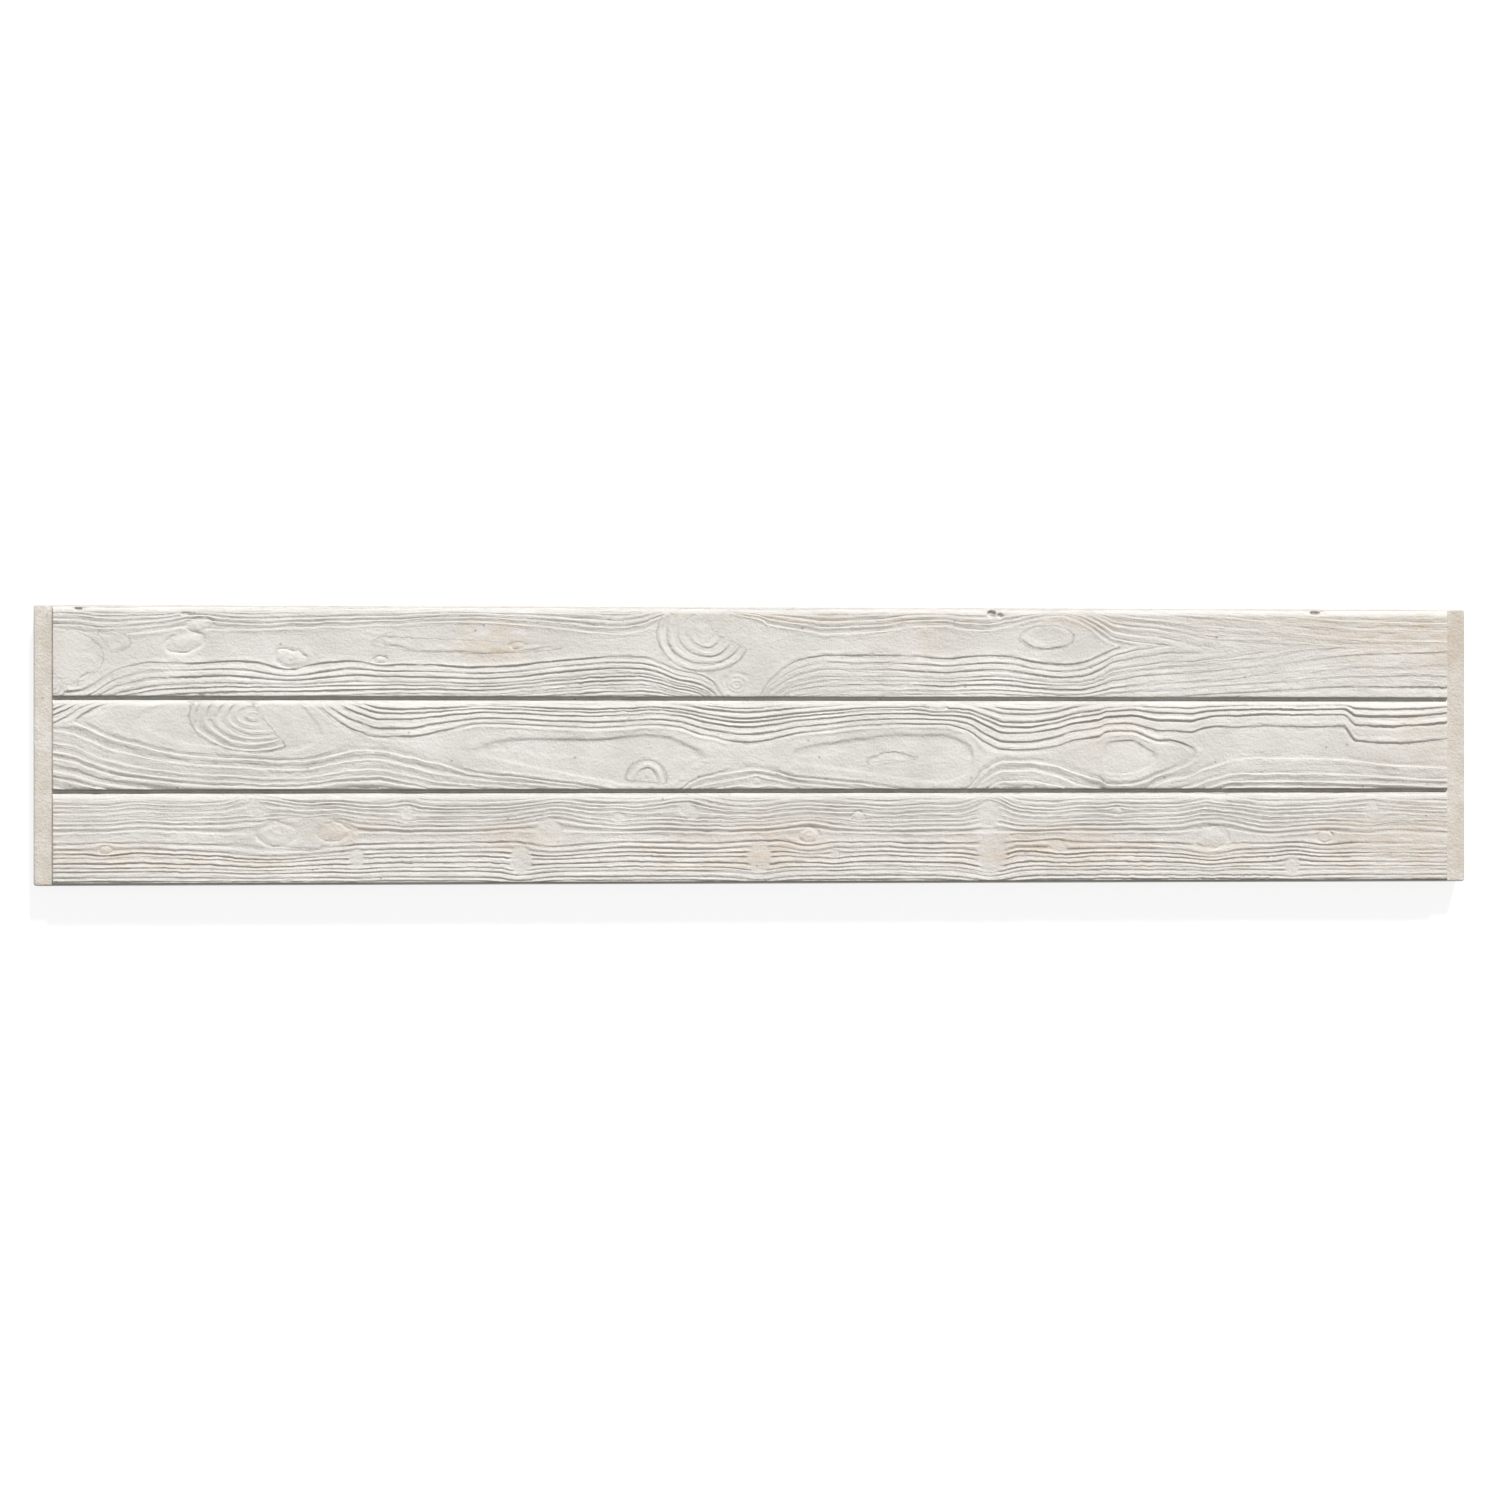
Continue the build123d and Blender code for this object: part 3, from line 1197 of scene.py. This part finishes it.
    def regions(self, mesh: bpy.types.Mesh) -> None:
        """Gives each face of the skin the finish of the region that it lies in.

        Args:
            mesh: The skin, which is changed in place.
        """
        centres = np.empty(len(mesh.polygons) * 3, np.float32)
        mesh.polygons.foreach_get("center", centres)
        z = centres.reshape(-1, 3)[:, 2] / MM
        region = np.full(len(z), Region.TONGUES.value, np.int32)
        region[z > self.tongue_thickness + 1.0] = Region.PLANKS.value
        region[z < self.back_arris / 2 + 0.5] = Region.STRUCK_BACK.value
        mesh.polygons.foreach_set("material_index", region)
        mesh.polygons.foreach_set("use_smooth", np.ones(len(z), bool))
        mesh.set_sharp_from_angle(angle=math.radians(self.sharp_angle))
        mesh.update()

    def build(self, grid: FaceGrid, materials: list[bpy.types.Material]) -> bpy.types.Object:
        """Builds, thins and dresses the slab.

        Args:
            grid: How close together the lines of the fine grid are.
            materials: The finish of each region, in the order of Region.

        Returns:
            The finished slab.
        """
        skin = self.thin(self.skin(grid))
        self.close_back(skin.data)
        self.mark(skin.data)
        for material in materials:
            skin.data.materials.append(material)
        self.regions(skin.data)
        return skin


# Node groups that the finishes share


class NodeSheet:
    """Places and joins the nodes of one node tree."""

    def __init__(self, tree: bpy.types.NodeTree) -> None:
        """Starts an empty sheet on a tree."""
        self.tree = tree
        tree.nodes.clear()

    def add(self, kind: str, **settings: object) -> bpy.types.Node:
        """Adds a node and sets what is given: inputs by socket name and properties by their own name.

        Args:
            kind: Blender's name for the node.
            settings: Values for sockets, with spaces written as underscores, or for properties.

        Returns:
            The new node.
        """
        node = self.tree.nodes.new(kind)
        own = {name for name in settings if hasattr(node, name) and name[0].islower()}
        for name in own:
            setattr(node, name, settings[name])
        sockets = {socket.name.replace(" ", "_"): socket for socket in reversed(node.inputs)}
        for name in settings.keys() - own:
            self.feed(settings[name], sockets[name])
        return node

    def feed(self, value: object, socket: bpy.types.NodeSocket) -> None:
        """Joins a node's output to a socket, or sets the socket's own value.

        Args:
            value: The output, or the value.
            socket: The socket that takes it.
        """
        if isinstance(value, bpy.types.NodeSocket):
            self.tree.links.new(value, socket)
        else:
            socket.default_value = value

    def sum_of(self, kind: str, first: object, second: object) -> bpy.types.NodeSocket:
        """Adds a Math node.

        Args:
            kind: What it does, such as ADD or MULTIPLY.
            first: Its first value, or the output that gives it.
            second: Its second value, or the output that gives it.

        Returns:
            The node's output.
        """
        node = self.add("ShaderNodeMath", operation=kind)
        self.feed(first, node.inputs[0])
        self.feed(second, node.inputs[1])
        return node.outputs[0]

    def blend(self, share: object, first: object, second: object) -> bpy.types.NodeSocket:
        """Mixes two colours.

        Args:
            share: How much of the second colour shows, from 0 to 1, or the output that gives it.
            first: The first colour, or the output that gives it.
            second: The second colour, or the output that gives it.

        Returns:
            The output with the mixed colour.
        """
        node = self.add("ShaderNodeMix", data_type="RGBA")
        self.feed(share, node.inputs["Factor"])
        colours_in = [socket for socket in node.inputs if socket.type == "RGBA"]
        self.feed(first, colours_in[0])
        self.feed(second, colours_in[1])
        return next(socket for socket in node.outputs if socket.type == "RGBA")


def shared_group(
    name: str,
    inputs: dict[str, str],
    outputs: dict[str, str],
    draw: Callable[[NodeSheet, bpy.types.Node, bpy.types.Node], None],
) -> bpy.types.NodeTree:
    """Makes a shader node group with named sockets.

    Args:
        name: The group's name.
        inputs: Socket type of each input by name, such as Float, Vector or Color.
        outputs: Socket type of each output by name.
        draw: Fills the group, given its sheet, its input node and its output node.

    Returns:
        The group.
    """
    group = bpy.data.node_groups.new(name, "ShaderNodeTree")
    for label, kind in inputs.items():
        group.interface.new_socket(label, in_out="INPUT", socket_type=f"NodeSocket{kind}")
    for label, kind in outputs.items():
        group.interface.new_socket(label, in_out="OUTPUT", socket_type=f"NodeSocket{kind}")
    sheet = NodeSheet(group)
    draw(sheet, sheet.add("NodeGroupInput"), sheet.add("NodeGroupOutput"))
    return group


def draw_fibres(sheet: NodeSheet, given: bpy.types.Node, result: bpy.types.Node) -> None:
    """Draws fine fibres that run with the grain coordinates.

    Args:
        sheet: The group's sheet.
        given: The group's input node.
        result: The group's output node.
    """
    fine = sheet.add("ShaderNodeMapping", Vector=given.outputs["Grain"], Scale=(3.0, 3.4, 1.0))
    coarse = sheet.add("ShaderNodeMapping", Vector=given.outputs["Grain"], Scale=(1.3, 2.1, 1.0))
    hair = sheet.add("ShaderNodeTexNoise", Vector=fine.outputs[0], Scale=1.0, Detail=4.0, Roughness=0.6)
    band = sheet.add("ShaderNodeTexNoise", Vector=coarse.outputs[0], Scale=1.0, Detail=2.0, Roughness=0.5)
    height = sheet.sum_of("ADD", hair.outputs[0], sheet.sum_of("MULTIPLY", band.outputs[0], 0.6))
    sheet.feed(sheet.sum_of("MULTIPLY", height, given.outputs["Strength"]), result.inputs["Height"])


def draw_sand(sheet: NodeSheet, given: bpy.types.Node, result: bpy.types.Node) -> None:
    """Draws the sandy skin of cast concrete and its scattered air holes.

    Args:
        sheet: The group's sheet.
        given: The group's input node.
        result: The group's output node.
    """
    sand = sheet.add(
        "ShaderNodeTexNoise",
        Vector=given.outputs["Place"], Scale=given.outputs["Grain Scale"], Detail=5.0, Roughness=0.65,
    )
    holes = sheet.add("ShaderNodeTexVoronoi", Vector=given.outputs["Place"], Scale=given.outputs["Hole Scale"])
    pick = sheet.add("ShaderNodeTexWhiteNoise", Vector=holes.outputs["Position"])
    chosen = sheet.sum_of("LESS_THAN", pick.outputs["Value"], given.outputs["Hole Share"])
    open_hole = sheet.sum_of("LESS_THAN", holes.outputs["Distance"], 0.17)
    hole = sheet.sum_of("MULTIPLY", chosen, open_hole)
    lowered = sheet.sum_of("SUBTRACT", sand.outputs[0], sheet.sum_of("MULTIPLY", hole, 1.6))
    sheet.feed(lowered, result.inputs["Height"])
    sheet.feed(hole, result.inputs["Hole"])


def draw_mottle(sheet: NodeSheet, given: bpy.types.Node, result: bpy.types.Node) -> None:
    """Draws the cloudy colour of pale concrete: pale and deep tones, tan clouds, painted shade in hollows and a
    painted highlight along the bevels.

    Args:
        sheet: The group's sheet.
        given: The group's input node.
        result: The group's output node.
    """
    cloud = sheet.add(
        "ShaderNodeTexNoise",
        Vector=given.outputs["Place"], Scale=given.outputs["Cloud Scale"], Detail=6.0, Roughness=0.62,
    )
    spread = sheet.add("ShaderNodeMapRange", Value=cloud.outputs[0], From_Min=0.34, From_Max=0.68)
    body = sheet.blend(spread.outputs[0], given.outputs["Pale"], given.outputs["Deep"])
    fine = sheet.add("ShaderNodeTexNoise", Vector=given.outputs["Place"], Scale=420.0, Detail=3.0, Roughness=0.7)
    speck = sheet.add("ShaderNodeMapRange", Value=fine.outputs[0], From_Min=0.35, From_Max=0.75)
    speck_share = sheet.sum_of("MULTIPLY", speck.outputs[0], 0.22)
    body = sheet.blend(speck_share, body, given.outputs["Deep"])
    body = sheet.blend(given.outputs["Tint"], body, given.outputs["Tan"])
    # Painted shade: darkens the colour in grooves, under plank edges and in air holes.
    painted_hollow_shade_share = sheet.sum_of("MULTIPLY", given.outputs["Hollow"], given.outputs["Dust Strength"])
    body = sheet.blend(painted_hollow_shade_share, body, given.outputs["Dust"])
    # Painted highlight: pales the colour along each plank's upper bevel.
    sheet.feed(sheet.blend(given.outputs["Rim"], body, given.outputs["Rim Colour"]), result.inputs["Colour"])


@dataclass
class SharedGroups:
    """The node groups that every finish is made from.

    Attributes:
        fibres: Wood fibres pressed into the concrete.
        sand: The sandy skin with its air holes.
        mottle: The cloudy colour, with painted shade in hollows and a painted highlight along the bevels.
    """

    fibres: bpy.types.NodeTree
    sand: bpy.types.NodeTree
    mottle: bpy.types.NodeTree

    @classmethod
    def make(cls) -> "SharedGroups":
        """Builds each group once.

        Returns:
            The groups.
        """
        return cls(
            fibres=shared_group(
                "wood_fibres", {"Grain": "Vector", "Strength": "Float"}, {"Height": "Float"}, draw_fibres
            ),
            sand=shared_group(
                "cast_sand",
                {"Place": "Vector", "Grain Scale": "Float", "Hole Scale": "Float", "Hole Share": "Float"},
                {"Height": "Float", "Hole": "Float"},
                draw_sand,
            ),
            # Dust carries the painted shade in hollows, and Rim the painted highlight along the bevels.
            mottle=shared_group(
                "concrete_mottle",
                {
                    "Place": "Vector", "Cloud Scale": "Float", "Pale": "Color", "Deep": "Color", "Tan": "Color",
                    "Dust": "Color", "Tint": "Float", "Hollow": "Float", "Dust Strength": "Float",
                    "Rim": "Float", "Rim Colour": "Color",
                },
                {"Colour": "Color"},
                draw_mottle,
            ),
        )


@dataclass(frozen=True)
class ConcreteFinish:
    """One finish of the pale concrete. Colours are linear.

    Attributes:
        name: The material's name.
        pale: The lighter tone.
        deep: The darker tone.
        tan: The colour of damp clouds.
        dust: The painted shade colour in grooves, under plank edges and in air holes.
        fibre: Strength of the wood fibres in the relief.
        sand_scale: Fineness of the sandy skin.
        hole_share: Share of places that hold an air hole.
        bump: Height of the fine relief, in metres.
        roughness: Roughness of the surface.
        rim: The painted highlight colour along each plank's upper bevel.
        painted_highlight_share: How far that colour takes over there.
        cloud_scale: Fineness of the clouds of colour.
        dust_strength: How far the painted shade colour takes over in hollows.
        hole_scale: Fineness of the pattern that air holes are picked from.
        knot_plain: How much of the wood fibres a knot's face lacks.
        specular: How strongly the surface reflects.
    """

    name: str
    pale: Colour
    deep: Colour
    tan: Colour
    dust: Colour
    fibre: float
    sand_scale: float
    hole_share: float
    bump: float
    roughness: float
    # Painted highlight colour along the upper bevels.
    rim: Colour = (0.93, 0.915, 0.89)
    painted_highlight_share: float = 0.6
    cloud_scale: float = 14.0
    # Strength of the painted shade in hollows.
    dust_strength: float = 0.55
    hole_scale: float = 90.0
    knot_plain: float = 0.7
    specular: float = 0.25

    def material(self, groups: SharedGroups) -> bpy.types.Material:
        """Makes the finish's material.

        Args:
            groups: The node groups to place in it.

        Returns:
            The material.
        """
        material = bpy.data.materials.new(self.name)
        material.use_nodes = True
        sheet = NodeSheet(material.node_tree)
        place = sheet.add("ShaderNodeTexCoord").outputs["Object"]
        grain = sheet.add("ShaderNodeUVMap", uv_map="grain").outputs[0]
        marks = {
            name: sheet.add("ShaderNodeAttribute", attribute_name=name).outputs["Fac"]
            for name in ("groove", "knot", "rim", "tint")
        }
        fibres = sheet.add("ShaderNodeGroup", node_tree=groups.fibres, Grain=grain, Strength=self.fibre)
        sand = sheet.add(
            "ShaderNodeGroup", node_tree=groups.sand, Place=place, Grain_Scale=self.sand_scale,
            Hole_Scale=self.hole_scale, Hole_Share=self.hole_share,
        )
        # Painted shade wherever the groove mark or an air hole lies.
        hollow = sheet.sum_of("MAXIMUM", marks["groove"], sand.outputs["Hole"])
        mottle = sheet.add(
            "ShaderNodeGroup", node_tree=groups.mottle, Place=place, Cloud_Scale=self.cloud_scale,
            Pale=(*self.pale, 1.0), Deep=(*self.deep, 1.0), Tan=(*self.tan, 1.0), Dust=(*self.dust, 1.0),
            Tint=marks["tint"], Hollow=hollow, Dust_Strength=self.dust_strength,
            # Rim carries the painted highlight along the upper bevels.
            Rim=sheet.sum_of("MULTIPLY", marks["rim"], self.painted_highlight_share), Rim_Colour=(*self.rim, 1.0),
        )
        open_wood = sheet.sum_of("SUBTRACT", 1.0, sheet.sum_of("MULTIPLY", marks["knot"], self.knot_plain))
        height = sheet.sum_of(
            "ADD", sheet.sum_of("MULTIPLY", fibres.outputs["Height"], open_wood), sand.outputs["Height"]
        )
        relief = sheet.add("ShaderNodeBump", Strength=1.0, Distance=self.bump, Height=height)
        surface = sheet.add(
            "ShaderNodeBsdfPrincipled", Base_Color=mottle.outputs["Colour"], Roughness=self.roughness,
            Normal=relief.outputs["Normal"],
        )
        surface.inputs["Specular IOR Level"].default_value = self.specular
        sheet.add("ShaderNodeOutputMaterial", Surface=surface.outputs[0])
        return material


PLANK_FINISH = ConcreteFinish(
    name="brushed_plank_concrete",
    pale=(0.825, 0.80, 0.76),
    deep=(0.715, 0.685, 0.64),
    tan=(0.70, 0.60, 0.49),
    # Painted shade colour for hollows.
    dust=(0.37, 0.345, 0.305),
    fibre=1.0,
    sand_scale=240.0,
    hole_share=0.02,
    bump=0.0013,
    roughness=0.88,
)
TONGUE_FINISH = ConcreteFinish(
    name="plain_tongue_concrete",
    pale=(0.84, 0.81, 0.765),
    deep=(0.68, 0.61, 0.525),
    tan=(0.63, 0.55, 0.45),
    # Painted shade colour for hollows.
    dust=(0.42, 0.38, 0.32),
    fibre=0.0,
    sand_scale=240.0,
    hole_share=0.05,
    bump=0.0017,
    roughness=0.9,
    cloud_scale=38.0,
)
BACK_FINISH = ConcreteFinish(
    name="struck_back_concrete",
    pale=(0.62, 0.59, 0.55),
    deep=(0.50, 0.475, 0.44),
    tan=(0.52, 0.46, 0.38),
    # Painted shade colour for hollows.
    dust=(0.33, 0.31, 0.28),
    fibre=0.0,
    sand_scale=180.0,
    hole_share=0.12,
    bump=0.0012,
    roughness=0.93,
    cloud_scale=9.0,
)


@dataclass
class Studio:
    """The floor, the light and the camera. Lengths are in metres and angles in degrees.

    Attributes:
        slab_length: Length of the slab in the picture.
        slab_share: Share of the picture's width that the slab fills.
        lens: Focal length in millimetres.
        sensor: Width of the camera's sensor in millimetres.
        turn: How far the camera stands round from square on, towards the left end.
        rise: How far the slab is raised in the picture.
        aside: How far it is moved to the right.
        light_elevation: How far the key light stands over the floor.
        light_turn: How far the key light is turned about the vertical.
        light_spread: How broad the key light shows in the sky, which softens its shadows.
        sun_strength: Strength of the key light.
        sky_strength: Strength of the sky as a light.
        floor_reach: How far the floor runs from the middle to each side.
        floor_gap: Gap between the floor and the slab's back.
        floor_paint: How much of the light the floor sends back, from 0 to 1.
        floor_glow: Light that the floor adds where the camera sees it.
    """

    slab_length: float
    slab_share: float = 0.96
    lens: float = 85.0
    sensor: float = 36.0
    turn: float = 5.1
    rise: float = 0.0065
    aside: float = 0.0175
    light_elevation: float = 35.0
    light_turn: float = -13.0
    light_spread: float = 7.0
    sun_strength: float = 3.2
    sky_strength: float = 0.41
    floor_reach: float = 12.0
    floor_gap: float = 0.0005
    floor_paint: float = 0.3
    floor_glow: float = 0.82

    @staticmethod
    def seen(sheet: NodeSheet) -> bpy.types.NodeSocket:
        """Gives 1 where the camera or a reflection sees the surface, and 0 where it only lights others.

        Args:
            sheet: The sheet that takes the nodes.

        Returns:
            The output that holds it.
        """
        path = sheet.add("ShaderNodeLightPath")
        return sheet.sum_of("MAXIMUM", path.outputs["Is Camera Ray"], path.outputs["Is Glossy Ray"])

    def floor(self) -> None:
        """Lays a pale floor that is white to the camera and still keeps the slab's shadow."""
        mesh = bpy.data.meshes.new("studio_floor")
        reach = self.floor_reach
        corners = [(-reach, -reach, 0), (reach, -reach, 0), (reach, reach, 0), (-reach, reach, 0)]
        mesh.from_pydata(corners, [], [(0, 1, 2, 3)])
        floor = bpy.data.objects.new("studio_floor", mesh)
        floor.location.z = -self.floor_gap
        bpy.context.scene.collection.objects.link(floor)
        material = bpy.data.materials.new("studio_floor_white")
        material.use_nodes = True
        sheet = NodeSheet(material.node_tree)
        paint = sheet.add("ShaderNodeBsdfDiffuse", Color=(*[self.floor_paint] * 3, 1.0))
        strength = sheet.sum_of("MULTIPLY", self.seen(sheet), self.floor_glow)
        glow = sheet.add("ShaderNodeEmission", Color=(1.0, 1.0, 1.0, 1.0), Strength=strength)
        both = sheet.add("ShaderNodeAddShader")
        sheet.feed(paint.outputs[0], both.inputs[0])
        sheet.feed(glow.outputs[0], both.inputs[1])
        sheet.add("ShaderNodeOutputMaterial", Surface=both.outputs[0])
        mesh.materials.append(material)

    def light(self) -> None:
        """Sets a broad key light beyond the slab's upper edge and an even white sky."""
        lamp = bpy.data.lights.new("key_light", "SUN")
        lamp.energy = self.sun_strength
        lamp.angle = math.radians(self.light_spread)
        key = bpy.data.objects.new("key_light", lamp)
        key.rotation_euler = Euler((-math.radians(90 - self.light_elevation), 0, math.radians(self.light_turn)))
        bpy.context.scene.collection.objects.link(key)
        world = bpy.data.worlds.new("studio_sky")
        bpy.context.scene.world = world
        world.use_nodes = True
        sheet = NodeSheet(world.node_tree)
        own = sheet.sum_of("MULTIPLY", self.seen(sheet), 1 - self.sky_strength)
        strength = sheet.sum_of("ADD", self.sky_strength, own)
        sky = sheet.add("ShaderNodeBackground", Color=(1.0, 1.0, 1.0, 1.0), Strength=strength)
        sheet.add("ShaderNodeOutputWorld", Surface=sky.outputs[0])

    def camera(self, target: Vector) -> None:
        """Sets the camera over the slab.

        Args:
            target: The middle of the slab's face.
        """
        half_view = self.slab_length / self.slab_share / 2
        distance = half_view / (self.sensor / 2 / self.lens)
        turn = math.radians(self.turn)
        lens = bpy.data.cameras.new("camera")
        lens.lens = self.lens
        lens.sensor_width = self.sensor
        camera = bpy.data.objects.new("camera", lens)
        back = Vector((-math.sin(turn), 0, math.cos(turn)))
        camera.location = target + back * distance - Vector((self.aside, self.rise, 0))
        camera.rotation_euler = Euler((0, -turn, 0))
        bpy.context.scene.collection.objects.link(camera)
        bpy.context.scene.camera = camera


def fitted_slab(record: dict) -> CastSlab:
    """Takes the slab's sizes from the frame.

    Args:
        record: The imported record, whose mounts give the tongue's width and thickness.

    Returns:
        The slab, in millimetres.
    """
    low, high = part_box(SLAB_NODE)
    size = (high - low) / MM
    tongue = next(mount for mount in record["mounts"] if mount["name"] == "right_tongue")
    middle_x, _, middle_z = (value / MM for value in tongue["pos_m"])
    return CastSlab(
        length=size.x,
        height=size.y,
        face_height=size.z,
        tongue_thickness=2 * middle_z,
        tongue_width=size.x - 2 * middle_x,
    )


def main() -> None:
    """Builds the slab, the studio and the camera."""
    logging.basicConfig(level=logging.INFO, format="%(name)s: %(message)s")
    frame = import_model()
    bpy.context.scene.view_settings.view_transform = "Standard"
    slab = fitted_slab(frame["record"])
    studio = Studio(slab_length=slab.length * MM)
    studio.camera(Vector((0, 0, slab.face_height * MM)))
    studio.light()
    studio.floor()
    groups = SharedGroups.make()
    finishes = {Region.PLANKS: PLANK_FINISH, Region.TONGUES: TONGUE_FINISH, Region.STRUCK_BACK: BACK_FINISH}
    materials = [finishes[region].material(groups) for region in Region]
    grid = FaceGrid(1.7, 0.85)
    skin = slab.build(grid, materials)
    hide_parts(SLAB_NODE)
    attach(skin, "root")
    LOG.info("%s: %d vertices", skin.name, len(skin.data.vertices))


if __name__ == "__main__":
    main()
